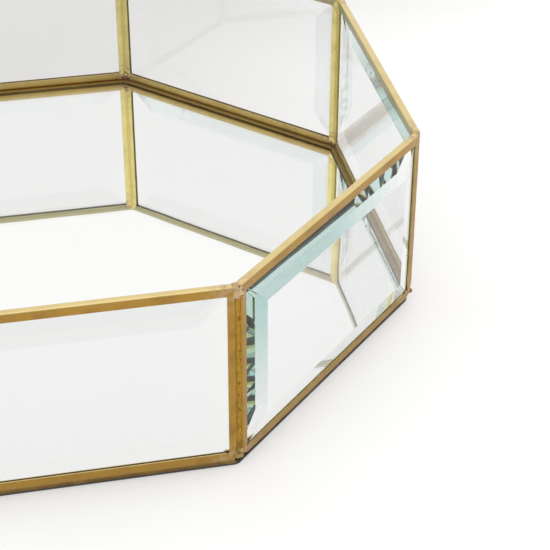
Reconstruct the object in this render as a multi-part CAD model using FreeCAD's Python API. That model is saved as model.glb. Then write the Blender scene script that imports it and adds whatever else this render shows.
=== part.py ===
import FreeCAD, Part
import math
import os
from FreeCAD import Vector

# Octagonal dresser tray: a mirror base in a brass channel ring, and eight bevelled
# glass walls, each framed by four brass channel strips ("cames") and soldered to
# its neighbours.  Millimetres, +Z up, origin at the middle of the underside.

# ---- driving dimensions -------------------------------------------------------
sides = 8
frame_apothem = 102.0      # centre to the outer face of a wall's strips
wall_height = 50.6         # bottom edge to top edge of a wall frame

came_width = 2.1           # wall channel, across its back
rail_depth = 2.4           # top, bottom and base channels, from back to lips
post_depth = 1.9           # upright channels, from back to lips
base_came_width = 2.0      # base ring channel, across its back
came_wall = 0.3            # brass sheet the channel is folded from
came_round = 0.55          # outer rounding where the sheet is folded
bend_inner_radius = 0.5    # lip radius where the strip bends at a bottom corner

glass_thickness = 3.1      # at the flat middle of a wall pane
bevel_width = 8.4          # ground border on the outer face

base_inset = 0.9           # base ring set back from the wall strips
base_corner_snip = 0.6     # taken off each corner of the base ring
felt_thickness = 0.6
felt_inset = 0.2           # felt set back from the base ring
felt_corner_radius = 3.0

seam_depth = 0.8           # solder fillet along the root of each corner groove
top_solder_reach = 1.7     # radius of the solder lump on a rim corner
top_solder_rise = 0.3      # height of that lump above the rim
bottom_solder_reach = 1.6  # radius of the solder lump at the foot of a groove
bottom_solder_run = 1.0    # straight length between that lump's round ends

# ---- clearances -----------------------------------------------------------------
corner_gap = 0.06          # between the frames of neighbouring walls
glass_edge_gap = 0.1       # pane or mirror edge to the back of its channel
glass_face_gap = 0.05      # pane or mirror face to the channel's inner wall

# ---- worked out from the above ----------------------------------------------------
step_angle = 360.0 / sides
half_angle = math.radians(180.0 / sides)
inner_apothem = frame_apothem - came_width
frame_length = 2 * inner_apothem * math.tan(half_angle) - corner_gap
deepest = max(rail_depth, post_depth)
bend_radius = deepest + bend_inner_radius
base_apothem = frame_apothem - base_inset
mirror_thickness = base_came_width - 2 * came_wall - 2 * glass_face_gap

lip_thickness = came_width - 2 * came_wall - 2 * glass_face_gap
glass_in_channel = deepest - came_wall - glass_edge_gap
bevel_slope = (glass_thickness - lip_thickness) / (bevel_width - glass_in_channel)
bevel_edge = lip_thickness - bevel_slope * glass_in_channel

base_bottom = felt_thickness
base_top = base_bottom + base_came_width
frame_bottom = base_top
frame_top = frame_bottom + wall_height

OUTWARD = Vector(0, -1, 0)   # the first wall is modelled at the front
INWARD = Vector(0, 1, 0)
UP = Vector(0, 0, 1)
DOWN = Vector(0, 0, -1)
RIGHT = Vector(1, 0, 0)
CENTRE = Vector(0, 0, 0)


# ---- helpers --------------------------------------------------------------------
def polygon_face(points):
    return Part.Face(Part.makePolygon(list(points) + [points[0]]))


def regular_prism(apothem, bottom, height, turned=0.0):
    """Prism with flats at the given apothem; unturned, one flat faces the front."""
    radius = apothem / math.cos(half_angle)
    first = math.radians(turned - 90.0) + half_angle
    corners = []
    for i in range(sides):
        angle = first + i * 2 * half_angle
        corners.append(Vector(radius * math.cos(angle), radius * math.sin(angle), bottom))
    return polygon_face(corners).extrude(UP * height)


def channel_face(back_corner, depth_dir, depth, width_dir, width):
    """Section of a brass channel, its lips pointing along depth_dir."""
    def at(down, across):
        return back_corner + depth_dir * down + width_dir * across

    mid = came_round * (1 - math.sqrt(0.5))
    near = came_wall
    far = width - came_wall
    first_fold = Part.Arc(at(came_round, 0), at(mid, mid), at(0, came_round))
    second_fold = Part.Arc(at(0, width - came_round), at(mid, width - mid), at(came_round, width))
    edges = [
        Part.makeLine(at(depth, 0), at(came_round, 0)),
        first_fold.toShape(),
        Part.makeLine(at(0, came_round), at(0, width - came_round)),
        second_fold.toShape(),
        Part.makeLine(at(came_round, width), at(depth, width)),
        Part.makeLine(at(depth, width), at(depth, far)),
        Part.makeLine(at(depth, far), at(came_wall, far)),
        Part.makeLine(at(came_wall, far), at(came_wall, near)),
        Part.makeLine(at(came_wall, near), at(depth, near)),
        Part.makeLine(at(depth, near), at(depth, 0)),
    ]
    return Part.Face(Part.Wire(edges))


def around(shape, index):
    """Copy of a first-wall shape, turned to the wall or corner with this index."""
    copy = shape.copy()
    copy.rotate(CENTRE, UP, index * step_angle)
    return copy


def largest_solid(shape):
    return max(shape.Solids, key=lambda solid: solid.Volume)


# ---- wall pieces ------------------------------------------------------------------
def upper_mitre(points):
    """Prism through the wall's thickness that trims a strip at the upper corners."""
    corners = [Vector(x, -frame_apothem - 1, z) for x, z in points]
    return polygon_face(corners).extrude(INWARD * (came_width + 2))


def top_came():
    end = frame_length / 2
    back = Vector(-end, -frame_apothem, frame_top)
    bar = channel_face(back, DOWN, rail_depth, INWARD, came_width).extrude(RIGHT * frame_length)
    mitre = upper_mitre([(-end, frame_top), (end, frame_top),
                         (end - post_depth, frame_top - rail_depth),
                         (post_depth - end, frame_top - rail_depth)])
    return largest_solid(bar.common(mitre))


def bottom_came():
    straight_end = frame_length / 2 - bend_radius
    back = Vector(-straight_end, -frame_apothem, frame_bottom)
    bar = channel_face(back, UP, rail_depth, INWARD, came_width).extrude(RIGHT * 2 * straight_end)
    for side in (-1, 1):
        pivot = Vector(side * straight_end, -frame_apothem, frame_bottom + bend_radius)
        foot = Vector(pivot.x, pivot.y, frame_bottom)
        section = channel_face(foot, UP, rail_depth, INWARD, came_width)
        bar = bar.fuse(section.revolve(pivot, OUTWARD, side * 45))
    return largest_solid(bar.removeSplitter())


def side_came(side):
    """Upright strip at the left (-1) or right (+1) end of a wall, as seen from outside."""
    end = side * frame_length / 2
    toward_pane = RIGHT * -side
    bend_level = frame_bottom + bend_radius
    section = channel_face(Vector(end, -frame_apothem, bend_level), toward_pane, post_depth,
                           INWARD, came_width)
    bar = section.extrude(UP * (frame_top - bend_level))
    inner = end - side * post_depth
    mitre = upper_mitre([(end, bend_level), (end, frame_top),
                         (inner, frame_top - rail_depth), (inner, bend_level)])
    bar = bar.common(mitre)
    pivot = Vector(end - side * bend_radius, -frame_apothem, bend_level)
    bend = section.revolve(pivot, INWARD, side * 45)
    return largest_solid(bar.fuse(bend).removeSplitter())


def side_glass():
    """Pane with a flat inner face and a ground bevel round the outer face."""
    margin = came_wall + glass_edge_gap
    half = frame_length / 2 - margin
    low = frame_bottom + margin
    high = frame_top - margin
    inner_y = -(inner_apothem + came_wall + glass_face_gap)
    edge_y = inner_y - bevel_edge
    flat_y = inner_y - glass_thickness

    def rim(y, inset):
        return [Vector(-half + inset, y, low + inset), Vector(half - inset, y, low + inset),
                Vector(half - inset, y, high - inset), Vector(-half + inset, y, high - inset)]

    back = rim(inner_y, 0)
    edge = rim(edge_y, 0)
    flat = rim(flat_y, bevel_width)
    faces = [polygon_face(back), polygon_face(flat)]
    for i in range(4):
        j = (i + 1) % 4
        faces.append(polygon_face([back[i], back[j], edge[j], edge[i]]))
        faces.append(polygon_face([edge[i], edge[j], flat[j], flat[i]]))
    pane = Part.Solid(Part.Shell(faces))
    blank = Part.makeBox(2 * half, glass_thickness, high - low, Vector(-half, flat_y, low))
    foot_edges = [e for e in blank.Edges
                  if abs(e.BoundBox.YLength - glass_thickness) < 1e-6 and e.BoundBox.ZMax < low + 1]
    blank = blank.makeFillet(bend_radius - margin, foot_edges)
    return largest_solid(pane.common(blank))


# ---- base pieces ------------------------------------------------------------------
def corner_trim(distance, bottom, height):
    """Prism whose flats cut the corners off at the given distance from the centre."""
    return regular_prism(distance, bottom, height, turned=step_angle / 2)


def base_corner_distance():
    return base_apothem / math.cos(half_angle) - base_corner_snip


def base_came():
    reach = base_apothem * math.tan(half_angle)
    back = Vector(-reach, -base_apothem, base_bottom)
    bar = channel_face(back, INWARD, rail_depth, UP, base_came_width).extrude(RIGHT * 2 * reach)
    sector = polygon_face([Vector(0, 0, base_bottom), Vector(-reach, -base_apothem, base_bottom),
                           Vector(reach, -base_apothem, base_bottom)])
    bar = bar.common(sector.extrude(UP * base_came_width))
    bar = bar.common(corner_trim(base_corner_distance(), base_bottom, base_came_width))
    return largest_solid(bar)


def base_mirror():
    edge = came_wall + glass_edge_gap
    bottom = base_bottom + came_wall + glass_face_gap
    plate = regular_prism(base_apothem - edge, bottom, mirror_thickness)
    trim = corner_trim(base_corner_distance() - edge, bottom, mirror_thickness)
    return largest_solid(plate.common(trim))


def felt_pad():
    pad = regular_prism(base_apothem - felt_inset, 0, felt_thickness)
    uprights = [e for e in pad.Edges if e.BoundBox.ZLength > felt_thickness / 2]
    return pad.makeFillet(felt_corner_radius, uprights)


# ---- solder -----------------------------------------------------------------------
def groove_point(outward, side, z):
    """Point on the back of an upright strip, this far out from the wall's inner face."""
    x = frame_length / 2
    y = -(inner_apothem + outward)
    if side > 0:
        return Vector(x, y, z)
    bisector = 2 * (half_angle - math.pi / 2)
    return Vector(math.cos(bisector) * x + math.sin(bisector) * y,
                  math.sin(bisector) * x - math.cos(bisector) * y, z)


def groove_middle(outward, z):
    return (groove_point(outward, 1, z) + groove_point(outward, -1, z)) * 0.5


def groove_fill(start, end, low, high):
    """Solid that fills a corner groove between two distances from its root side."""
    section = polygon_face([groove_point(start, 1, low), groove_point(end, 1, low),
                            groove_point(end, -1, low), groove_point(start, -1, low)])
    return section.extrude(UP * (high - low))


def seam_solder():
    """Solder fillet at the root of a corner groove."""
    return groove_fill(came_round, came_round + seam_depth,
                       frame_bottom + bend_radius, frame_top - came_round)


def wall_blank():
    """Outline block of one wall frame, without its channels' rounded folds."""
    start = Vector(-frame_length / 2, -frame_apothem, frame_bottom)
    blank = Part.makeBox(frame_length, came_width, wall_height, start)
    feet = [e for e in blank.Edges
            if e.BoundBox.YLength > came_width / 2 and e.BoundBox.ZMax < frame_bottom + 1]
    return blank.makeFillet(bend_radius, feet)


def solder_ball(radius, centre):
    """Ball whose poles and seam point into the walls and the tray, where it is cut away."""
    across = groove_point(0, -1, 0) - groove_point(0, 1, 0)
    inward = groove_middle(0, 0) - groove_middle(1, 0)
    ball = Part.makeSphere(radius)
    ball.Placement = FreeCAD.Placement(centre, FreeCAD.Rotation(inward, Vector(), across, "ZXY"))
    return ball


def top_solder():
    """Ball of solder on a rim corner: it fills the groove and caps the strips' ends."""
    spine = groove_middle(came_width / 2, frame_top + top_solder_rise - top_solder_reach)
    ball = solder_ball(top_solder_reach, spine)
    width = 4 * top_solder_reach
    cap = Part.makeBox(width, width, top_solder_rise + 1,
                       Vector(spine.x - width / 2, spine.y - width / 2, frame_top))
    groove = groove_fill(came_round + seam_depth, came_width + top_solder_reach,
                         frame_top - 2 * top_solder_reach, frame_top)
    return largest_solid(ball.common(groove.fuse(cap)))


def bottom_solder():
    """Round-ended lump at the foot of a groove, cut back to the walls beside it."""
    foot = groove_middle(came_width / 2, frame_bottom + bottom_solder_reach)
    lump = Part.makeCylinder(bottom_solder_reach, bottom_solder_run, foot)
    for level in (0, bottom_solder_run):
        lump = lump.fuse(Part.makeSphere(bottom_solder_reach, foot + UP * level))
    lump = lump.removeSplitter()
    blank = wall_blank()
    for piece in (blank, around(blank, 1), seam_solder()):
        lump = lump.cut(piece)
    return largest_solid(lump)


# ---- assembly ---------------------------------------------------------------------
def build_nodes():
    wall = {
        "side_glass": side_glass(),
        "top_came": top_came(),
        "bottom_came": bottom_came(),
        "left_came": side_came(-1),
        "right_came": side_came(1),
        "base_came": base_came(),
    }
    nodes = {"base_mirror": base_mirror(), "felt_pad": felt_pad()}
    for name, shape in wall.items():
        for i in range(sides):
            nodes["%s_%d" % (name, i + 1)] = around(shape, i)
    # The first corner lies between the first wall and the next one round.
    corner_work = {"seam_solder": seam_solder(), "top_solder": top_solder(),
                   "bottom_solder": bottom_solder()}
    for name, shape in corner_work.items():
        nodes[name] = Part.Compound([around(shape, i) for i in range(sides)])
    return nodes


os.makedirs("parts", exist_ok=True)
for name, shape in build_nodes().items():
    if not shape.isValid():
        raise RuntimeError("invalid shape: " + name)
    shape.exportStep("parts/%s.step" % name)
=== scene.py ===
import math
import random

import bmesh
import bpy
from bpy.props import FloatProperty, FloatVectorProperty, IntProperty, PointerProperty
from mathutils import Matrix, Vector, noise


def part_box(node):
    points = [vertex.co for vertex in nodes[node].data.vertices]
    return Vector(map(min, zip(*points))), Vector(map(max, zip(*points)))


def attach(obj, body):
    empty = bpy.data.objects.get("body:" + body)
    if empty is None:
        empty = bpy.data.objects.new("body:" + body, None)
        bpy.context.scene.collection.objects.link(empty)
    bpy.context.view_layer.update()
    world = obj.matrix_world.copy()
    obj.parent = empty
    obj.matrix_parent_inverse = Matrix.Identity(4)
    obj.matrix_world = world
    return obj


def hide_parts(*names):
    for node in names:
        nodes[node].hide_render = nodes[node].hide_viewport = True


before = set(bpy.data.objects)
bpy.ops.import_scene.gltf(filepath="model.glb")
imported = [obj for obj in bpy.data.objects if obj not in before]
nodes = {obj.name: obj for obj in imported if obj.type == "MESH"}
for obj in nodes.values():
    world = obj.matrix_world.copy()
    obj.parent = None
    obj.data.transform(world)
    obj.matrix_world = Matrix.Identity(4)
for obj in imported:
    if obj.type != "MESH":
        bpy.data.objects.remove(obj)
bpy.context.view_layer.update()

# Looks of the octagonal dresser tray: brass channel, bevelled panes, mirror floor,
# solder and felt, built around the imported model.  Metres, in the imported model's frame.

bl_info = {
    "name": "Octagonal Dresser Tray",
    "version": (1, 0, 0),
    "blender": (4, 5, 0),
    "location": "3D View > Sidebar > Dresser Tray",
    "description": "Finishes an octagonal mirror tray with bevelled glass walls",
    "category": "Object",
}

MM = 0.001
WALLS = 8
STEP = 2 * math.pi / WALLS
HALF_STEP = STEP / 2
FRONT = -math.pi / 2                 # the first wall faces this way
LEVEL, UPRIGHT = 0, 2                # axis along a strip, once turned to the first wall
GLASS_IOR = 1.52

# ---- sizes taken from the frame -------------------------------------------------------
top_low, top_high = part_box("top_came_1")
base_low, base_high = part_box("base_came_1")
plate_low, plate_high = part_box("base_mirror")
felt_low, felt_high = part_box("felt_pad")
seam_low, seam_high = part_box("seam_solder")
rim_solder_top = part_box("top_solder")[1].z

INNER_APOTHEM = -top_high.y          # to the walls' inner faces
CAME_WIDTH = top_high.y - top_low.y
FRAME_LENGTH = top_high.x - top_low.x   # of one wall, at its outer face
RIM = top_high.z                     # top of the walls
FOOT = base_high.z                   # top of the base ring, where the walls stand
CORNER_RADIUS = INNER_APOTHEM / math.cos(HALF_STEP)    # to the root of a corner groove


def corner_distance(node):
    """Farthest that a node's mesh reaches from the upright axis."""
    return max(v.co.to_2d().length for v in nodes[node].data.vertices)


def wall_angle(index):
    """Turn from the first wall to this one."""
    return index * STEP


def corner_angle(index):
    """Direction of the corner between this wall and the next."""
    return FRONT + HALF_STEP + index * STEP


def over_corner(index, radius, height):
    """Point over a corner, at a distance from the upright axis."""
    angle = corner_angle(index)
    return Vector((math.cos(angle) * radius, math.sin(angle) * radius, height))


# ---- node sheets ----------------------------------------------------------------------
class Wire:
    """A socket that takes part in sums, products, powers and limits."""

    def __init__(self, sheet, socket):
        self.sheet = sheet
        self.socket = socket

    def maths(self, operation, *terms):
        values = dict(enumerate(terms))
        return self.sheet.add("ShaderNodeMath", {"operation": operation}, values)["Value"]

    def __add__(self, other):
        return self.maths("ADD", self, other)

    def __radd__(self, other):
        return self.maths("ADD", other, self)

    def __sub__(self, other):
        return self.maths("SUBTRACT", self, other)

    def __rsub__(self, other):
        return self.maths("SUBTRACT", other, self)

    def __mul__(self, other):
        return self.maths("MULTIPLY", self, other)

    def __rmul__(self, other):
        return self.maths("MULTIPLY", other, self)

    def __truediv__(self, other):
        return self.maths("DIVIDE", self, other)

    def __rtruediv__(self, other):
        return self.maths("DIVIDE", other, self)

    def __abs__(self):
        return self.maths("ABSOLUTE", self)

    def __pow__(self, other):
        return self.maths("POWER", self, other)

    def larger(self, other):
        return self.maths("MAXIMUM", self, other)

    def smaller(self, other):
        return self.maths("MINIMUM", self, other)

    def between(self, low, high):
        """0 below low, 1 above high, smooth in the middle."""
        return self.sheet.add("ShaderNodeMapRange", {"interpolation_type": "SMOOTHSTEP"},
                              {"Value": self, "From Min": low, "From Max": high})["Result"]


class Outputs:
    """The output sockets of one node, as wires."""

    def __init__(self, sheet, node):
        self.sheet = sheet
        self.node = node

    def __getitem__(self, key):
        return Wire(self.sheet, self.node.outputs[key])


class Sheet:
    """A node tree: materials, the surroundings and shape trees are drawn on one."""

    def __init__(self, tree):
        self.tree = tree

    def add(self, kind, settings=None, values=None):
        """New node: its settings first, then the values or links of its sockets."""
        node = self.tree.nodes.new(kind)
        for name, value in (settings or {}).items():
            setattr(node, name, value)
        for key, value in (values or {}).items():
            if isinstance(value, Wire):
                self.tree.links.new(value.socket, node.inputs[key])
            else:
                node.inputs[key].default_value = value
        return Outputs(self, node)

    def vector(self, operation, *terms):
        """Vector Math node, for what a Wire's sums would turn into one number."""
        return self.add("ShaderNodeVectorMath", {"operation": operation},
                        dict(enumerate(terms)))["Vector"]

    def split(self, vector):
        """The three parts of a vector, as wires."""
        parts = self.add("ShaderNodeSeparateXYZ", {}, {"Vector": vector})
        return parts["X"], parts["Y"], parts["Z"]


class Finish(Sheet):
    """A material under one name, with the patterns that this tray's finishes share."""

    # Places of a Mix node's colour sockets, whose names it gives to other kinds as well.
    MASK, FIRST, SECOND, MIXED = 0, 6, 7, 2

    def __init__(self, name):
        self.material = bpy.data.materials.new(name)
        self.material.use_nodes = True
        super().__init__(self.material.node_tree)
        self.tree.nodes.clear()

    def place(self, turn=0.0):
        """Object coordinates in millimetres, turned so that a wall lies along X."""
        coords = self.add("ShaderNodeTexCoord")["Object"]
        return self.add("ShaderNodeMapping", {}, {
            "Vector": coords,
            "Rotation": (0.0, 0.0, -turn),
            "Scale": (1 / MM, 1 / MM, 1 / MM),
        })["Vector"]

    def cloud(self, place, scale, detail=3.0, roughness=0.55, stretch=None):
        """Noise from 0 to 1; scale is in cells per millimetre."""
        if stretch:
            place = self.vector("MULTIPLY", place, stretch)
        return self.add("ShaderNodeTexNoise", {}, {
            "Vector": place, "Scale": scale, "Detail": detail, "Roughness": roughness,
        })["Fac"]

    def blend(self, mask, first, second):
        """Colour that goes from first to second as mask goes from 0 to 1."""
        first, second = (side if isinstance(side, Wire) else (*side[:3], 1.0)
                         for side in (first, second))
        return self.add("ShaderNodeMix", {"data_type": "RGBA"}, {
            self.MASK: mask, self.FIRST: first, self.SECOND: second})[self.MIXED]

    def relief(self, height, depth, strength=1.0):
        """Normal from a height of 0 to 1 that stands for this many metres."""
        return self.add("ShaderNodeBump", {}, {
            "Height": height, "Distance": depth, "Strength": strength})["Normal"]

    def outside(self):
        """0 on faces turned toward the middle of the tray, 1 on those turned outward."""
        ray = self.vector("NORMALIZE", self.add("ShaderNodeTexCoord")["Object"])
        normal = self.add("ShaderNodeNewGeometry")["Normal"]
        facing = self.add("ShaderNodeVectorMath", {"operation": "DOT_PRODUCT"},
                          {0: ray, 1: normal})["Value"]
        return facing.between(-0.2, 0.25)

    def surface(self, values):
        """Ends the material with one Principled shader."""
        shader = self.add("ShaderNodeBsdfPrincipled", {}, values)["BSDF"]
        self.add("ShaderNodeOutputMaterial", {}, {"Surface": shader})
        return self.material


# ---- meshes ---------------------------------------------------------------------------
def piece_from(name, mesh_maker, materials):
    """Object at the origin from a mesh worked out by a bmesh function."""
    work = bmesh.new()
    mesh_maker(work)
    mesh = bpy.data.meshes.new(name)
    work.to_mesh(mesh)
    work.free()
    for material in materials:
        mesh.materials.append(material)
    piece = bpy.data.objects.new(name, mesh)
    bpy.context.scene.collection.objects.link(piece)
    return piece


def smooth(piece):
    """Shades a rounded piece smooth."""
    piece.data.polygons.foreach_set("use_smooth", [True] * len(piece.data.polygons))
    return piece


def fit(piece, slot, *replaced):
    """Fixes a finished piece to the tray, in place of CAD nodes."""
    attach(piece, "root")
    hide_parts(*replaced)


def octagon(apothem, cut_distance, height):
    """Octagon outline with its corners cut off square at a distance from the centre."""
    half_side = apothem * math.tan(HALF_STEP)
    corner = apothem / math.cos(HALF_STEP)
    back = (corner - cut_distance) / math.sin(HALF_STEP)
    points = []
    for i in range(WALLS):
        turn = Matrix.Rotation(wall_angle(i), 3, "Z")
        for x in (back - half_side, half_side - back):
            points.append(turn @ Vector((x, -apothem, height)))
    return points


def plate(work, outlines):
    """Closed plate through a stack of outlines with the same number of points."""
    rings = [[work.verts.new(p) for p in outline] for outline in outlines]
    work.faces.new(rings[-1])
    work.faces.new(list(reversed(rings[0])))
    for lower, upper in zip(rings, rings[1:]):
        for i in range(len(lower)):
            j = (i + 1) % len(lower)
            work.faces.new([lower[i], lower[j], upper[j], upper[i]])
    bmesh.ops.recalc_face_normals(work, faces=work.faces)


# ---- shape trees ----------------------------------------------------------------------
class ShapeTree(Sheet):
    """A Geometry Nodes tree with named inputs for its sizes."""

    KINDS = {"float": "NodeSocketFloat", "int": "NodeSocketInt",
             "geometry": "NodeSocketGeometry", "material": "NodeSocketMaterial"}

    def __init__(self, name, inputs):
        super().__init__(bpy.data.node_groups.new(name, "GeometryNodeTree"))
        self.identifiers = {}
        face = self.tree.interface
        for label, kind in inputs:
            socket = face.new_socket(label, in_out="INPUT", socket_type=self.KINDS[kind])
            self.identifiers[label] = socket.identifier
        face.new_socket("Geometry", in_out="OUTPUT", socket_type=self.KINDS["geometry"])
        self.given = self.add("NodeGroupInput")

    def finish(self, shape):
        """Ends the tree: instances made real, and the given material set."""
        real = self.add("GeometryNodeRealizeInstances", {}, {"Geometry": shape})["Geometry"]
        done = self.add("GeometryNodeSetMaterial", {}, {
            "Geometry": real, "Material": self.given["Material"]})["Geometry"]
        self.add("NodeGroupOutput", {}, {"Geometry": done})

    def make(self, name, values, source=None):
        """Plain mesh object from the tree, with these values for its inputs."""
        mesh = source.data if source else bpy.data.meshes.new(name + "_seed")
        host = bpy.data.objects.new(name + "_host", mesh)
        bpy.context.scene.collection.objects.link(host)
        modifier = host.modifiers.new("shape", "NODES")
        modifier.node_group = self.tree
        for label, value in values.items():
            modifier[self.identifiers[label]] = value
        graph = bpy.context.evaluated_depsgraph_get()
        made = bpy.data.meshes.new_from_object(host.evaluated_get(graph))
        made.name = name
        bpy.data.objects.remove(host)
        piece = bpy.data.objects.new(name, made)
        bpy.context.scene.collection.objects.link(piece)
        return piece


# ---- what a user may change -----------------------------------------------------------
class BrassSettings(bpy.types.PropertyGroup):
    # Painted light: the next four colours are one brass, painted as a highlight on upward
    # faces, lit inner faces (brightest on the posts) and shaded outer faces.
    top_highlight: FloatVectorProperty(
        name="Polished brass", description="Rubbed brass on the rim", subtype="COLOR",
        size=3, min=0, max=1, default=(0.77, 0.62, 0.29))
    inward: FloatVectorProperty(
        name="Inner face, rails", description="Brass inside the tray on level strips",
        subtype="COLOR", size=3, min=0, max=1, default=(0.58, 0.43, 0.14))
    inward_post: FloatVectorProperty(
        name="Inner face, posts", description="Brass inside the tray on upright strips",
        subtype="COLOR", size=3, min=0, max=1, default=(0.92, 0.80, 0.33))
    # Painted shade: the darker colour of the outer faces.
    outward: FloatVectorProperty(
        name="Outer face", description="Darker lacquered brass on the outer faces",
        subtype="COLOR", size=3, min=0, max=1, default=(0.40, 0.23, 0.042))
    # Painted reflection: a greyer band on the inner faces a little below the rim.
    painted_rim_reflection: FloatVectorProperty(
        name="Tinned face", description="Greyer metal inside the top strips",
        subtype="COLOR", size=3, min=0, max=1, default=(0.45, 0.43, 0.27))
    tarnished: FloatVectorProperty(
        name="Tarnish", description="Darkened brass in patches", subtype="COLOR",
        size=3, min=0, max=1, default=(0.26, 0.14, 0.035))
    flux_stain: FloatVectorProperty(
        name="Flux stain", description="Dull pinkish metal beside the solder",
        subtype="COLOR", size=3, min=0, max=1, default=(0.52, 0.37, 0.22))
    # Painted shade, with some patina: near-black metal low on the outside of the base ring.
    shade_and_patina: FloatVectorProperty(
        name="Patina", description="Nearly black metal low on the base ring",
        subtype="COLOR", size=3, min=0, max=1, default=(0.014, 0.009, 0.004))
    sheen: FloatProperty(
        name="Roughness", description="How much the brass spreads a reflection",
        subtype="FACTOR", min=0.05, max=1, default=0.30)


class GlassSettings(bpy.types.PropertyGroup):
    tint: FloatVectorProperty(
        name="Glass tint", description="Colour of light through one pane",
        subtype="COLOR", size=3, min=0, max=1, default=(0.925, 0.913, 0.916))
    depth_tint: FloatVectorProperty(
        name="Depth tint", description="Colour that long paths in the glass keep",
        subtype="COLOR", size=3, min=0, max=1, default=(0.20, 0.62, 0.57))
    depth_density: FloatProperty(
        name="Tint density", description="Absorption in the glass, per metre",
        min=0, max=100, default=10.0)
    edge: FloatVectorProperty(
        name="Ground edge", description="Colour of a pane's frosted edge",
        subtype="COLOR", size=3, min=0, max=1, default=(0.34, 0.52, 0.49))
    crease: FloatProperty(
        name="Crease width", description="Width of the polished line along each crease",
        subtype="DISTANCE", unit="LENGTH", min=0.00002, max=0.0005, default=0.00012)


class MirrorSettings(bpy.types.PropertyGroup):
    silver: FloatVectorProperty(
        name="Silver", description="Colour of the silvering", subtype="COLOR",
        size=3, min=0, max=1, default=(0.965, 0.97, 0.965))
    backing: FloatVectorProperty(
        name="Backing paint", description="Paint behind the silvering", subtype="COLOR",
        size=3, min=0, max=1, default=(0.19, 0.20, 0.21))
    silver_depth: FloatProperty(
        name="Silver thickness", description="Thickness of silvering and paint, each",
        subtype="DISTANCE", unit="LENGTH", min=0.00001, max=0.0002, default=0.00004)
    arris: FloatProperty(
        name="Arris", description="Small chamfer round the plate", subtype="DISTANCE",
        unit="LENGTH", min=0.00005, max=0.0004, default=0.00015)


class SolderSettings(bpy.types.PropertyGroup):
    colour: FloatVectorProperty(
        name="Solder", description="Gilded solder", subtype="COLOR", size=3,
        min=0, max=1, default=(0.50, 0.36, 0.20))
    # Painted shade: darker copies of the gilded solder for the groove and the feet.
    shaded_groove_colour: FloatVectorProperty(
        name="Groove", description="Gilded solder deep in a groove", subtype="COLOR",
        size=3, min=0, max=1, default=(0.36, 0.20, 0.02))
    shaded_foot_colour: FloatVectorProperty(
        name="Foot", description="Gilded solder at the feet", subtype="COLOR", size=3,
        min=0, max=1, default=(0.38, 0.255, 0.09))
    # Painted light: solder faces turned inward, lit like the brass inside the tray.
    lit_inner_colour: FloatVectorProperty(
        name="Inner face", description="Solder that shows inside the tray", subtype="COLOR",
        size=3, min=0, max=1, default=(0.82, 0.67, 0.26))
    scorched: FloatVectorProperty(
        name="Scorched", description="Solder that closes the feet from inside",
        subtype="COLOR", size=3, min=0, max=1, default=(0.30, 0.18, 0.12))
    ripple: FloatProperty(
        name="Ripple", description="Unevenness of the seams", subtype="DISTANCE",
        unit="LENGTH", min=0, max=0.0005, default=0.00016)
    seed: IntProperty(
        name="Seed", description="Picks another run of solder", min=0, default=11)


class FeltSettings(bpy.types.PropertyGroup):
    colour: FloatVectorProperty(
        name="Felt", description="Colour of the felt", subtype="COLOR", size=3,
        min=0, max=1, default=(0.022, 0.022, 0.025))
    fibres: IntProperty(
        name="Fibres", description="Loose fibres per square centimetre",
        min=0, max=200, default=26)
    fibre_length: FloatProperty(
        name="Fibre length", description="Length of a loose fibre",
        subtype="DISTANCE", unit="LENGTH", min=0.0001, max=0.003, default=0.0007)
    seed: IntProperty(name="Seed", description="Scatters the fibres anew", min=0, default=5)


class StageSettings(bpy.types.PropertyGroup):
    floor: FloatVectorProperty(
        name="Floor", description="Colour of the floor", subtype="COLOR", size=3,
        min=0, max=1, default=(0.63, 0.63, 0.63))
    floor_glow: FloatProperty(
        name="Floor glow", description="Light that comes up through the floor",
        min=0, max=1, default=0.42)
    # Painted shade: how much the floor's colour and glow are darkened behind the tray.
    falloff: FloatProperty(
        name="Falloff", description="How much dimmer the floor is behind the tray",
        subtype="FACTOR", min=0, max=1, default=0.22)
    surroundings: FloatProperty(
        name="Surroundings", description="Brightness of the studio walls",
        min=0, max=5, default=0.95)
    key: FloatProperty(
        name="Overhead light", description="Power of the overhead softbox",
        subtype="POWER", unit="POWER", min=0, max=200, default=1.6)
    azimuth: FloatProperty(
        name="Azimuth", description="Direction of the camera from the tray",
        subtype="ANGLE", unit="ROTATION", default=math.radians(-12.05))
    elevation: FloatProperty(
        name="Elevation", description="Height of the camera, as an angle",
        subtype="ANGLE", unit="ROTATION", default=math.radians(34.16))
    roll: FloatProperty(
        name="Roll", description="Tilt of the camera", subtype="ANGLE",
        unit="ROTATION", default=math.radians(0.28))
    distance: FloatProperty(
        name="Distance", description="Camera to the point it looks at",
        subtype="DISTANCE", unit="LENGTH", min=0.1, default=0.475)
    aim: FloatVectorProperty(
        name="Aim", description="Point that the camera looks at",
        subtype="TRANSLATION", unit="LENGTH", size=3, default=(0.0673, -0.02305, 0.0006))
    lens: FloatProperty(
        name="Lens", description="Focal length in millimetres", min=10, default=109.8)


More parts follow.
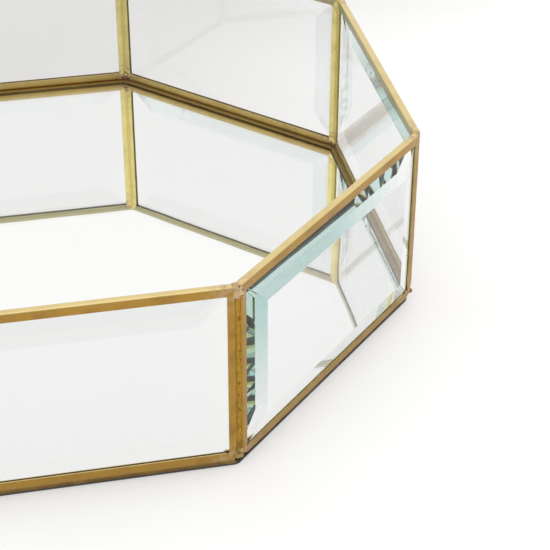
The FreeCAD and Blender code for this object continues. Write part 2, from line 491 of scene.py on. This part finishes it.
# ---- brass ----------------------------------------------------------------------------
def brass_finish(name, look, turn, run, half_run, worn_by_solder, ring_shade=0.0):
    """Rolled brass with draw lines along the strip.

    run is LEVEL or UPRIGHT, and half_run is half the strip's length in millimetres.
    worn_by_solder is how strongly the flux stains its ends, and ring_shade how dark the
    painted shade, with some patina, is low on its outside."""
    sheet = Finish(name)
    place = sheet.place(turn)
    across_lines, along_lines = 7.0, 0.05
    grain = [across_lines, across_lines, across_lines]
    grain[run] = along_lines
    lines = sheet.cloud(place, 1.0, detail=3.0, roughness=0.6, stretch=tuple(grain))
    patches = sheet.cloud(place, 0.16, detail=5.0, roughness=0.62)
    specks = sheet.cloud(place, 2.1, detail=2.0).between(0.66, 0.74)
    parts = sheet.split(place)
    middle = (RIM + FOOT) / 2 / MM if run == UPRIGHT else 0.0
    from_middle = abs(parts[run] - middle)
    near_end = from_middle.between(half_run - 9.0, half_run - 0.5)
    stain = near_end * sheet.cloud(place, 0.8, detail=4.0).between(0.42, 0.62) * worn_by_solder
    upward = sheet.split(sheet.add("ShaderNodeNewGeometry")["Normal"])[2]
    # Painted highlight: every upward face takes the bright top colour.
    painted_top_light = upward.between(0.35, 0.9)
    outside = sheet.outside()

    # Painted light: lit inner faces and shaded outer faces, tarnish over them, and a painted
    # highlight on upward faces over both.
    tarnish = (patches.between(0.44, 0.72) * 0.55 + specks * 0.3) * (outside * 0.6 + 0.4)
    # Painted light: the inner faces of posts are painted brighter than those of rails.
    inner = look.inward_post if run == UPRIGHT else look.inward
    lit_and_shaded = sheet.blend(outside, inner, look.outward)
    face = sheet.blend(tarnish.smaller(1.0), lit_and_shaded, look.tarnished)
    top = sheet.blend(tarnish * 0.3, look.top_highlight, look.outward)
    colour = sheet.blend(painted_top_light, face, top)
    colour = sheet.blend(stain * 0.8, colour, look.flux_stain)

    height = parts[2]
    if run == LEVEL:
        inside = 1.0 - outside
        # Painted reflection: a greyer band 3 to 5 mm below the rim on the inner faces of level
        # strips, left off upward faces.
        near_rim = height.between(RIM / MM - 5.0, RIM / MM - 3.0)
        colour = sheet.blend(near_rim * inside * (1.0 - painted_top_light) * 0.8, colour, look.painted_rim_reflection)
        # Painted shade: inner faces darken toward the mirror, where the strips stand on it.
        painted_foot_shade = 1.0 - height.between(FOOT / MM - 0.4, FOOT / MM + 2.0)
        colour = sheet.blend(painted_foot_shade * inside * 0.6, colour, look.tarnished)

    metal, coat = 1.0, 0.25
    rough = look.sheen + lines * 0.12 + tarnish * 0.16 + stain * 0.2 - painted_top_light * 0.06
    # Painted shade, with some patina: the outside of the base ring goes nearly black toward
    # its bottom, by an amount set for each wall.
    if ring_shade:
        low = 1.0 - height.between(base_low.z / MM + 0.5, base_high.z / MM - 0.1)
        shade_patches = patches.between(0.25, 0.6) * 0.3 + 0.7
        dark = (low * 0.6 + ring_shade * 0.55).smaller(1.0) * shade_patches * outside
        colour = sheet.blend(dark, colour, look.shade_and_patina)
        metal = 1.0 - dark * 0.95
        coat = (1.0 - dark) * 0.25
        rough = (rough + dark * 0.45).smaller(0.9)
    uneven = lines * 0.6 + patches * 0.4 - specks * 0.5 + stain * 0.5
    return sheet.surface({
        "Base Color": colour, "Metallic": metal, "Roughness": rough,
        "Normal": sheet.relief(uneven, 0.03 * MM, 0.35),
        "Coat Weight": coat, "Coat Roughness": 0.12, "Coat IOR": 1.5,
    })


class TRAY_OT_finish_brass(bpy.types.Operator):
    """Gives every brass strip its rolled, lacquered finish"""

    bl_idname = "dresser_tray.finish_brass"
    bl_label = "Finish the brass"

    # How black the painted shade, with some patina, makes the outside of the base ring, for
    # each pair of facing walls.
    RING_SHADE = (0.1, 1.6, 1.3, 0.9)

    def execute(self, context):
        look = context.scene.tray_brass
        half_length = FRAME_LENGTH / 2 / MM
        half_height = (RIM - FOOT) / 2 / MM
        upright = brass_finish("rolled brass, uprights", look, 0.0, UPRIGHT, half_height, 1.0)
        for pair in range(WALLS // 2):
            turn = wall_angle(pair)
            level = brass_finish("rolled brass, level strips %d" % (pair + 1), look,
                                 turn, LEVEL, half_length, 1.0)
            ring = brass_finish("rolled brass, base ring %d" % (pair + 1), look,
                                turn, LEVEL, half_length, 0.6, self.RING_SHADE[pair])
            for wall in (pair + 1, pair + 1 + WALLS // 2):
                for part, finish in (("top_came", level), ("bottom_came", level),
                                     ("left_came", upright), ("right_came", upright),
                                     ("base_came", ring)):
                    strip = nodes["%s_%d" % (part, wall)]
                    strip.material_slots[0].link = "OBJECT"
                    strip.material_slots[0].material = finish
        return {"FINISHED"}


# ---- panes ----------------------------------------------------------------------------
def clear_glass(name, look, tint):
    """Clear glass that turns green where light travels a long way in it."""
    sheet = Finish(name)
    place = sheet.place()
    smear = sheet.cloud(place, 0.09, detail=3.0).between(0.55, 0.75)
    wave = sheet.cloud(place, 0.045, detail=1.0)
    shader = sheet.add("ShaderNodeBsdfPrincipled", {}, {
        "Base Color": (*tint, 1.0), "Transmission Weight": 1.0, "IOR": GLASS_IOR,
        "Roughness": smear * 0.012,
        "Normal": sheet.relief(wave, 0.12 * MM, 0.25),
    })["BSDF"]
    tinted = sheet.add("ShaderNodeVolumeAbsorption", {}, {
        "Color": (*look.depth_tint, 1.0), "Density": look.depth_density})["Volume"]
    sheet.add("ShaderNodeOutputMaterial", {}, {"Surface": shader, "Volume": tinted})
    return sheet.material


def ground_edge(look):
    """Frosted green edge of a pane, ground flat and not polished."""
    sheet = Finish("ground glass edge")
    place = sheet.place()
    frost = sheet.cloud(place, 1.6, detail=4.0)
    pale = tuple(min(1.0, c * 1.25) for c in look.edge)
    return sheet.surface({
        "Base Color": sheet.blend(frost.between(0.35, 0.65), look.edge, pale),
        "Roughness": 0.55, "Transmission Weight": 0.25, "IOR": GLASS_IOR,
        "Normal": sheet.relief(frost, 0.04 * MM, 0.5),
    })


def bevelled_pane(source, crease, outward):
    """Maker of a copy of a CAD pane, with the creases of its outer bevels softened.

    The ground edge takes the second material, and the flats and bevels the first."""
    same_point, same_plane = 0.001 * MM, math.radians(0.5)

    def make(work):
        work.from_mesh(source)
        bmesh.ops.remove_doubles(work, verts=work.verts, dist=same_point)
        bmesh.ops.dissolve_limit(work, angle_limit=same_plane, verts=work.verts,
                                 edges=work.edges)
        bmesh.ops.recalc_face_normals(work, faces=work.faces)
        plateau = max(v.co.dot(outward) for v in work.verts)
        raised = {v for v in work.verts if v.co.dot(outward) > plateau - 0.01 * MM}
        creases = [e for e in work.edges if e.verts[0] in raised or e.verts[1] in raised]
        bmesh.ops.bevel(work, geom=creases, offset=crease, offset_type="WIDTH", segments=2,
                        profile=0.5, affect="EDGES", clamp_overlap=True)
        for face in work.faces:
            sideways = abs(face.normal.dot(outward)) < 0.3
            face.material_index = 1 if sideways else 0

    return make


class TRAY_OT_cut_panes(bpy.types.Operator):
    """Cuts the eight bevelled panes, with polished bevels and ground edges"""

    bl_idname = "dresser_tray.cut_panes"
    bl_label = "Cut the panes"

    def execute(self, context):
        look = context.scene.tray_glass
        clear = clear_glass("bevelled glass", look, look.tint)
        ground = ground_edge(look)
        for i in range(WALLS):
            facing = FRONT + wall_angle(i)
            outward = Vector((math.cos(facing), math.sin(facing), 0.0))
            node = "side_glass_%d" % (i + 1)
            maker = bevelled_pane(nodes[node].data, look.crease, outward)
            pane = piece_from("bevelled_pane_%d" % (i + 1), maker, [clear, ground])
            fit(pane, "bevelled_glass", node)
        return {"FINISHED"}


# ---- mirror ---------------------------------------------------------------------------
def silver_finish(look):
    """Bright silvering with a trace of bloom."""
    sheet = Finish("silvering")
    place = sheet.place()
    bloom = sheet.cloud(place, 0.5, detail=4.0).between(0.6, 0.8)
    return sheet.surface({
        "Base Color": sheet.blend(bloom * 0.04, look.silver, (0.6, 0.58, 0.5)),
        "Metallic": 1.0, "Roughness": 0.0,
    })


def backing_finish(look):
    """Brushed grey paint that protects the silvering."""
    sheet = Finish("mirror backing paint")
    place = sheet.place()
    brushed = sheet.cloud(place, 0.5, detail=4.0, stretch=(0.1, 2.0, 1.0))
    return sheet.surface({
        "Base Color": sheet.blend(brushed, look.backing, (0.13, 0.14, 0.15)),
        "Roughness": 0.45 + brushed * 0.2,
        "Normal": sheet.relief(brushed, 0.04 * MM, 0.5),
    })


def mirror_layer(low, high, chamfer=0.0):
    """Maker of one layer of the mirror, its arrises taken off by a chamfer if given."""
    apothem = -plate_low.y
    corner = corner_distance("base_mirror")
    levels = [(low, 0.0), (high, 0.0)]
    if chamfer:
        levels = [(low, chamfer), (low + chamfer, 0.0),
                  (high - chamfer, 0.0), (high, chamfer)]

    def make(work):
        plate(work, [octagon(apothem - inset, corner - inset, height)
                     for height, inset in levels])

    return make


class TRAY_OT_lay_mirror(bpy.types.Operator):
    """Lays the mirror floor: a glass plate, its silvering and the paint behind it"""

    bl_idname = "dresser_tray.lay_mirror"
    bl_label = "Lay the mirror"

    GLASS_TINT = (0.99, 0.985, 0.985)

    def execute(self, context):
        look = context.scene.tray_mirror
        glass = clear_glass("mirror glass", context.scene.tray_glass, self.GLASS_TINT)
        skin = look.silver_depth
        overlap = skin / 8               # so that no two layers share a face
        paint_top = plate_low.z + skin
        silver_top = paint_top + skin
        layers = (
            ("mirror_backing", mirror_layer(plate_low.z, paint_top + overlap),
             backing_finish(look)),
            ("mirror_silver", mirror_layer(paint_top, silver_top + overlap),
             silver_finish(look)),
            ("mirror_glass", mirror_layer(silver_top, plate_high.z, look.arris), glass),
        )
        for name, maker, finish in layers:
            fit(piece_from(name, maker, [finish]), "mirror", "base_mirror")
        return {"FINISHED"}


# ---- solder ---------------------------------------------------------------------------
# Painted shade in the solder's pits, and the colour of its dark grit specks.
PIT_SHADE_AND_GRIT = (0.05, 0.03, 0.015)

# Height and closeness of each layer of unevenness on a lump of half size 1.
LUMP_WAVES = ((0.16, 1.4), (0.07, 4.0), (0.025, 11.0))
PIT_DEPTH = 0.16


def solder_finish(name, colour, lit_inner_colour):
    """Dull gilded solder: mottled, streaked and scorched in places, with pale painted
    highlights, painted shade in its pits and dark grit, and a painted lighter colour on faces
    turned inward.
    """
    sheet = Finish(name)
    place = sheet.place()
    mottle = sheet.cloud(place, 0.9, detail=5.0, roughness=0.65)
    grit = sheet.cloud(place, 4.5, detail=3.0)
    pits = sheet.add("ShaderNodeAttribute", {"attribute_name": "pit"})["Fac"]
    streaks = sheet.cloud(place, 1.0, detail=3.0, stretch=(2.6, 2.6, 0.09)).between(0.45, 0.7)
    scorch = sheet.cloud(place, 0.62, detail=5.0, roughness=0.7).between(0.52, 0.66)

    def shade(factor):
        return tuple(c * factor for c in colour)

    # Painted highlight: pale glints on the solder, scattered by noise.
    pale = tuple(min(1.0, c * 1.5 + 0.015) for c in colour)
    tone = sheet.blend(mottle.between(0.35, 0.7), colour, pale)
    tone = sheet.blend(scorch * 0.8, tone, shade(0.3))
    tone = sheet.blend(streaks * 0.35, tone, shade(0.5))
    tone = sheet.blend(grit.between(0.6, 0.75) * 0.5, tone, PIT_SHADE_AND_GRIT)
    # Painted shade: the dented pits darken.
    tone = sheet.blend(pits * mottle.between(0.3, 0.6), tone, PIT_SHADE_AND_GRIT)
    # Painted light: faces turned inward take the lit inner colour, as the brass does.
    tone = sheet.blend(sheet.outside(), lit_inner_colour, tone)
    return sheet.surface({
        "Base Color": tone, "Metallic": 0.9,
        "Roughness": 0.34 + mottle * 0.2 + pits * 0.3,
        "Normal": sheet.relief(mottle * 0.6 + grit * 0.4, 0.08 * MM, 0.6),
    })


def solder_lump(centre, angle, reach, seed, ceiling, pits):
    """Maker of one uneven lump; reach is its half size across, outward and upward."""
    turn = Matrix.Rotation(angle, 3, "Z")
    across, outward, upward = reach

    def make(work):
        bmesh.ops.create_icosphere(work, subdivisions=5, radius=1.0)
        pit_layer = work.verts.layers.float.new("pit")
        shift = Vector((seed * 3.7, seed * 1.3, seed * 2.1))
        rng = random.Random(seed)
        dents = []
        for _ in range(pits):
            way = Vector((rng.uniform(0.2, 1), rng.uniform(-0.8, 0.8), rng.uniform(-0.6, 0.9)))
            dents.append((way.normalized(), rng.uniform(0.14, 0.3)))
        for v in work.verts:
            way = v.co.normalized()
            size = 1.0
            for height, closeness in LUMP_WAVES:
                size += height * noise.noise(way * closeness + shift)
            for dent, width in dents:
                near = max(0.0, 1 - (way - dent).length / width)
                size -= PIT_DEPTH * near * near
                v[pit_layer] = max(v[pit_layer], min(1.0, near * 1.6))
            local = Vector((way.x * outward, way.y * across, way.z * upward)) * size
            spot = centre + turn @ local
            spot.z = min(spot.z, ceiling - 0.15 * MM * abs(noise.noise(way * 3 + shift)))
            v.co = spot

    return make


def seam_tree():
    """Solder along the root of each corner groove, with a hollow, rippled face."""
    side_overlap = 0.34 * MM             # how far a seam runs into the strips beside it
    hollow = 0.35                        # how far its sides climb, as a share of its depth
    ripples_per_metre = 520.0
    shape = ShapeTree("solder seams", [
        ("Walls", "int"), ("Corner Radius", "float"), ("Low", "float"), ("High", "float"),
        ("Depth", "float"), ("Ripple", "float"), ("Seed", "float"), ("Material", "material")])
    given = shape.given

    # One upright block, spread into a wedge with its face hollowed.
    height = given["High"] - given["Low"]
    block = shape.add("GeometryNodeMeshCube", {}, {
        "Size": shape.add("ShaderNodeCombineXYZ", {}, {
            "X": given["Depth"], "Y": 1.0, "Z": height})["Vector"],
        "Vertices X": 4, "Vertices Y": 7, "Vertices Z": 150})["Mesh"]
    x, y, z = shape.split(shape.add("GeometryNodeInputPosition")["Position"])
    out = x + given["Depth"] * 0.5
    half_width = out * math.sin(HALF_STEP) + side_overlap
    share = out / given["Depth"]
    meniscus = (y * 2.0) * (y * 2.0) * share * given["Depth"] * hollow
    place = shape.add("ShaderNodeCombineXYZ", {}, {
        "X": out + meniscus,
        "Y": y * half_width * 2.0,
        "Z": z + (given["High"] + given["Low"]) * 0.5})["Vector"]
    formed = shape.add("GeometryNodeSetPosition", {}, {
        "Geometry": block, "Position": place})["Geometry"]

    # A copy in every corner.
    index = shape.add("GeometryNodeInputIndex")["Index"]
    angle = (index + 0.5) * STEP + FRONT
    spot = shape.add("ShaderNodeCombineXYZ", {}, {
        "X": angle.maths("COSINE", angle) * given["Corner Radius"],
        "Y": angle.maths("SINE", angle) * given["Corner Radius"], "Z": 0.0})["Vector"]
    corners = shape.add("GeometryNodePoints", {}, {
        "Count": given["Walls"], "Position": spot})["Points"]
    turn = shape.add("ShaderNodeCombineXYZ", {}, {"X": 0.0, "Y": 0.0, "Z": angle})["Vector"]
    placed = shape.add("GeometryNodeInstanceOnPoints", {}, {
        "Points": corners, "Instance": formed, "Rotation": turn})["Instances"]
    real = shape.add("GeometryNodeRealizeInstances", {}, {"Geometry": placed})["Geometry"]

    # Ripples in and out from the upright axis, different in each corner.
    position = shape.add("GeometryNodeInputPosition")["Position"]
    rough = shape.add("ShaderNodeTexNoise", {"noise_dimensions": "4D"}, {
        "Vector": position, "W": given["Seed"], "Scale": ripples_per_metre,
        "Detail": 3.0})["Fac"]
    east, north, _ = shape.split(position)
    distance = (east * east + north * north) ** 0.5
    push = (rough - 0.5) * 2.0 * given["Ripple"] / distance
    offset = shape.add("ShaderNodeCombineXYZ", {}, {
        "X": east * push, "Y": north * push, "Z": 0.0})["Vector"]
    rippled = shape.add("GeometryNodeSetPosition", {}, {
        "Geometry": real, "Offset": offset})["Geometry"]
    shape.finish(rippled)
    return shape


class TRAY_OT_run_solder(bpy.types.Operator):
    """Runs solder into the corner grooves, on the rim corners and at the feet"""

    bl_idname = "dresser_tray.run_solder"
    bl_label = "Run the solder"

    SEAM_DEPTH = 1.25 * MM

    # Millimetres, corner by corner: half width, half reach outward, full height and the
    # number of pits.
    RIM_LUMPS = ((1.6, 1.7, 4.1, 5), (0.75, 0.85, 1.1, 1), (1.25, 1.2, 2.3, 2),
                 (1.1, 1.1, 1.9, 1), (1.4, 1.3, 2.6, 2), (1.0, 1.1, 1.6, 1),
                 (1.5, 1.4, 2.9, 2), (1.2, 1.2, 2.2, 2))
    FOOT_LUMPS = ((1.35, 1.6, 3.4, 3), (0.95, 1.2, 1.7, 3), (1.2, 1.5, 2.9, 3),
                  (1.15, 1.5, 2.6, 3), (1.25, 1.5, 3.0, 3), (1.1, 1.45, 2.4, 3),
                  (1.3, 1.55, 3.1, 3), (1.15, 1.5, 2.6, 3))
    FILLETS = ((2.3, 0.8, 2.4, 2),) * WALLS

    # Steps between the seeds of the three kinds of lump, so that no two are alike.
    FOOT_SEED, FILLET_SEED = 40, 80

    @staticmethod
    def lumps(name, node, sizes, metal, radius, middle, ceiling, seed):
        """One lump on each corner; middle turns its half height into its middle's height."""
        for i, (across, outward, height, pits) in enumerate(sizes):
            half_height = height * MM / 2
            centre = over_corner(i, radius, middle(half_height))
            reach = (across * MM, outward * MM, half_height)
            maker = solder_lump(centre, corner_angle(i), reach, seed + i, ceiling, pits)
            lump = piece_from("%s_%d" % (name, i + 1), maker, [metal])
            fit(smooth(lump), "solder", node)

    def execute(self, context):
        look = context.scene.tray_solder
        rim_metal = solder_finish("gilded solder", look.colour, look.lit_inner_colour)
        # Painted shade: the groove and foot solder are the same gilded solder, darker.
        groove_metal = solder_finish("gilded solder in the grooves", look.shaded_groove_colour,
                                     look.lit_inner_colour)
        foot_metal = solder_finish("gilded solder at the feet", look.shaded_foot_colour,
                                   look.lit_inner_colour)
        scorched = solder_finish("scorched solder", look.scorched, look.scorched)

        seams = seam_tree().make("solder_seams", {
            "Walls": WALLS, "Corner Radius": CORNER_RADIUS, "Low": seam_low.z,
            "High": seam_high.z, "Depth": self.SEAM_DEPTH, "Ripple": look.ripple,
            "Seed": float(look.seed), "Material": groove_metal})
        fit(smooth(seams), "solder", "seam_solder")

        # Rim and foot lumps stand just outside the middle of the groove, and the fillets
        # at its inner end.  No lump rises past the ceiling given with it.
        spine = CORNER_RADIUS + CAME_WIDTH * 0.55 * math.cos(HALF_STEP)
        crown = RIM + (rim_solder_top - RIM) * 1.6
        self.lumps("rim_solder", "top_solder", self.RIM_LUMPS, rim_metal, spine,
                   lambda half: crown - half, rim_solder_top - 0.02 * MM, look.seed)
        self.lumps("foot_solder", "bottom_solder", self.FOOT_LUMPS, foot_metal, spine,
                   lambda half: FOOT + half, RIM, look.seed + self.FOOT_SEED)
        self.lumps("foot_fillet", "bottom_solder", self.FILLETS, scorched,
                   CORNER_RADIUS + 0.3 * MM, lambda half: FOOT + 0.95 * MM, RIM,
                   look.seed + self.FILLET_SEED)
        return {"FINISHED"}


# ---- felt -----------------------------------------------------------------------------
def felt_finish(look):
    """Matted wool with paler patches and a little lint."""
    sheet = Finish("short black felt")
    place = sheet.place()
    matted = sheet.cloud(place, 1.3, detail=6.0, roughness=0.7)
    patch = sheet.cloud(place, 0.08, detail=3.0)
    lint = sheet.cloud(place, 0.9, detail=2.0).between(0.72, 0.78)
    tone = sheet.blend(matted, look.colour, tuple(c * 2.6 for c in look.colour))
    tone = sheet.blend(patch.between(0.5, 0.7) * 0.4, tone, (0.05, 0.05, 0.055))
    tone = sheet.blend(lint * 0.25, tone, (0.3, 0.3, 0.29))
    return sheet.surface({
        "Base Color": tone, "Roughness": 0.95, "Specular IOR Level": 0.2,
        "Sheen Weight": 0.35, "Sheen Roughness": 0.6,
        "Normal": sheet.relief(matted, 0.2 * MM, 0.8),
    })


def felt_sheet(work):
    """Closed felt sheet, a little inside the pad it replaces to leave room for fibres."""
    room = 0.05 * MM
    apothem = -felt_low.y - room
    cut = corner_distance("felt_pad") - room
    levels = [(felt_low.z + room, 0.25 * MM), (felt_low.z + 0.2 * MM, 0.0),
              (felt_high.z - 0.01 * MM, 0.0)]
    plate(work, [octagon(apothem - inset, cut - inset, height) for height, inset in levels])


def nap_tree():
    """Loose fibres lying on the felt, kept between its underside and the base ring."""
    fibre_radius = 0.03 * MM
    least_turn, most_turn = (1.25, -0.3, 0.0), (1.9, 0.3, 6.28)    # nearly flat, any way
    shape = ShapeTree("felt nap", [
        ("Geometry", "geometry"), ("Density", "float"), ("Length", "float"),
        ("Floor", "float"), ("Ceiling", "float"), ("Seed", "int"), ("Material", "material")])
    given = shape.given
    points = shape.add("GeometryNodeDistributePointsOnFaces", {}, {
        "Mesh": given["Geometry"], "Density": given["Density"], "Seed": given["Seed"]})
    fibre = shape.add("GeometryNodeMeshCone", {"fill_type": "TRIANGLE_FAN"}, {
        "Vertices": 3, "Radius Top": 0.0, "Radius Bottom": fibre_radius,
        "Depth": given["Length"]})["Mesh"]
    tilt = shape.add("FunctionNodeRandomValue", {"data_type": "FLOAT_VECTOR"}, {
        0: least_turn, 1: most_turn, "Seed": given["Seed"]})[0]
    placed = shape.add("GeometryNodeInstanceOnPoints", {}, {
        "Points": points["Points"], "Instance": fibre, "Rotation": tilt})["Instances"]
    real = shape.add("GeometryNodeRealizeInstances", {}, {"Geometry": placed})["Geometry"]
    x, y, z = shape.split(shape.add("GeometryNodeInputPosition")["Position"])
    kept = z.larger(given["Floor"]).smaller(given["Ceiling"])
    place = shape.add("ShaderNodeCombineXYZ", {}, {"X": x, "Y": y, "Z": kept})["Vector"]
    pressed = shape.add("GeometryNodeSetPosition", {}, {
        "Geometry": real, "Position": place})["Geometry"]
    shape.finish(pressed)
    return shape


class TRAY_OT_glue_felt(bpy.types.Operator):
    """Glues the felt under the tray, with loose fibres on it"""

    bl_idname = "dresser_tray.glue_felt"
    bl_label = "Glue the felt"

    SQUARE_CM_PER_SQUARE_M = 10000.0

    def execute(self, context):
        look = context.scene.tray_felt
        wool = felt_finish(look)
        sheet = piece_from("felt_sheet", felt_sheet, [wool])
        nap = nap_tree().make("felt_nap", {
            "Density": look.fibres * self.SQUARE_CM_PER_SQUARE_M,
            "Length": look.fibre_length,
            "Floor": felt_low.z + 0.01 * MM, "Ceiling": felt_high.z - 0.02 * MM,
            "Seed": look.seed, "Material": wool}, source=sheet)
        fit(sheet, "felt", "felt_pad")
        fit(nap, "felt", "felt_pad")
        return {"FINISHED"}


# ---- stage ----------------------------------------------------------------------------
def floor_finish(look):
    """Translucent white table, lit from below, its colour and glow darkened behind the tray by
    painted shade.
    """
    sheet = Finish("studio floor")
    x, y, _ = sheet.split(sheet.place())
    # Painted shade: the floor's colour and glow fade toward black behind the tray.
    behind = (y - x * 0.35).between(20.0, 150.0) * look.falloff
    tooth = sheet.cloud(sheet.place(), 0.4, detail=4.0)
    tone = sheet.blend(tooth, look.floor, tuple(c * 0.985 for c in look.floor))
    black = (0.0, 0.0, 0.0)
    return sheet.surface({
        "Base Color": sheet.blend(behind, tone, black),
        "Roughness": 0.7, "Specular IOR Level": 0.2,
        "Emission Color": sheet.blend(behind, (1.0, 0.995, 0.985), black),
        "Emission Strength": look.floor_glow,
    })


def surroundings(strength):
    """Pale studio: a little dimmer in front, brighter upward but for one step down."""
    world = bpy.data.worlds.new("studio walls")
    world.use_nodes = True
    sheet = Sheet(world.node_tree)
    sheet.tree.nodes.clear()
    _, y, z = sheet.split(sheet.add("ShaderNodeTexCoord")["Generated"])
    front = (y * -1.0).between(0.2, 0.95)
    overhead = z.between(0.1, 0.9)
    step_down = z.between(0.575, 0.72)
    level = (1.0 - front * 0.08) * (1.0 + overhead * 0.15) * (1.0 - step_down * 0.09)
    lit = sheet.add("ShaderNodeBackground", {}, {
        "Color": (1.0, 0.995, 0.985, 1.0), "Strength": level * strength})["Background"]
    sheet.add("ShaderNodeOutputWorld", {}, {"Surface": lit})
    return world


def softbox(name, place, size, power, colour):
    """Large round light that points at the tray."""
    data = bpy.data.lights.new(name, "AREA")
    data.shape = "DISK"
    data.size = size
    data.energy = power
    data.color = colour
    lamp = bpy.data.objects.new(name, data)
    lamp.location = place
    lamp.rotation_euler = (-Vector(place)).to_track_quat("-Z", "Y").to_euler()
    bpy.context.scene.collection.objects.link(lamp)


def studio_camera(look):
    """Camera set by its direction, distance and tilt about the point it looks at."""
    azimuth, elevation = look.azimuth, look.elevation
    away = Vector((math.sin(azimuth) * math.cos(elevation),
                   -math.cos(azimuth) * math.cos(elevation), math.sin(elevation)))
    right = Vector((math.cos(azimuth), math.sin(azimuth), 0.0))
    up = away.cross(right)
    across = right * math.cos(look.roll) + up * math.sin(look.roll)
    upright = up * math.cos(look.roll) - right * math.sin(look.roll)
    pose = Matrix((across, upright, away)).transposed().to_4x4()
    pose.translation = Vector(look.aim) + away * look.distance
    data = bpy.data.cameras.new("studio_camera")
    data.lens = look.lens
    data.sensor_width = 36.0
    data.clip_start = 0.01
    camera = bpy.data.objects.new("studio_camera", data)
    bpy.context.scene.collection.objects.link(camera)
    camera.matrix_world = pose
    return camera


class TRAY_OT_set_stage(bpy.types.Operator):
    """Sets the floor, the soft studio light and the camera"""

    bl_idname = "dresser_tray.set_stage"
    bl_label = "Set the stage"

    FLOOR_RADIUS = 4.0
    FLOOR_GAP = 0.02 * MM

    # Name, place, size, share of the overhead light's power, and colour.
    SOFTBOXES = (("overhead_softbox", (0.1, -0.1, 1.3), 1.5, 1.0, (1.0, 0.985, 0.96)),
                 ("side_softbox", (1.4, -0.6, 0.8), 1.0, 0.2, (1.0, 0.99, 0.97)))

    # Light that is caught in a bevel is reflected many times before it leaves, and with
    # fewer bounces the bevels go dark.
    BOUNCES = 96

    def execute(self, context):
        look = context.scene.tray_stage
        scene = context.scene

        def disc(work):
            bmesh.ops.create_circle(work, cap_ends=True, segments=96,
                                    radius=self.FLOOR_RADIUS,
                                    matrix=Matrix.Translation((0, 0, -self.FLOOR_GAP)))

        piece_from("studio_floor", disc, [floor_finish(look)])
        scene.world = surroundings(look.surroundings)
        for name, place, size, share, colour in self.SOFTBOXES:
            softbox(name, place, size, look.key * share, colour)
        scene.camera = studio_camera(look)
        scene.view_settings.view_transform = "Standard"
        scene.cycles.max_bounces = self.BOUNCES
        scene.cycles.transmission_bounces = self.BOUNCES
        scene.cycles.glossy_bounces = self.BOUNCES
        scene.cycles.transparent_max_bounces = 16
        return {"FINISHED"}


# ---- panel and registration -----------------------------------------------------------
SETTINGS = (("tray_brass", BrassSettings), ("tray_glass", GlassSettings),
            ("tray_mirror", MirrorSettings), ("tray_solder", SolderSettings),
            ("tray_felt", FeltSettings), ("tray_stage", StageSettings))
STEPS = (("tray_brass", TRAY_OT_finish_brass), ("tray_glass", TRAY_OT_cut_panes),
         ("tray_mirror", TRAY_OT_lay_mirror), ("tray_solder", TRAY_OT_run_solder),
         ("tray_felt", TRAY_OT_glue_felt), ("tray_stage", TRAY_OT_set_stage))


class TRAY_PT_dresser_tray(bpy.types.Panel):
    """Lists the steps that finish the tray, each with its sizes and colours"""

    bl_idname = "TRAY_PT_dresser_tray"
    bl_label = "Dresser Tray"
    bl_space_type = "VIEW_3D"
    bl_region_type = "UI"
    bl_category = "Dresser Tray"

    def draw(self, context):
        for group, step in STEPS:
            box = self.layout.box()
            settings = getattr(context.scene, group)
            for name in settings.__annotations__:
                box.prop(settings, name)
            box.operator(step.bl_idname)


CLASSES = (*(kind for _, kind in SETTINGS), *(step for _, step in STEPS),
           TRAY_PT_dresser_tray)


def register():
    for kind in CLASSES:
        bpy.utils.register_class(kind)
    for name, kind in SETTINGS:
        setattr(bpy.types.Scene, name, PointerProperty(type=kind))


def unregister():
    for name, _ in SETTINGS:
        delattr(bpy.types.Scene, name)
    for kind in reversed(CLASSES):
        bpy.utils.unregister_class(kind)


def main():
    register()
    for _, step in STEPS:
        family, action = step.bl_idname.split(".")
        getattr(getattr(bpy.ops, family), action)()


if __name__ == "__main__":
    main()
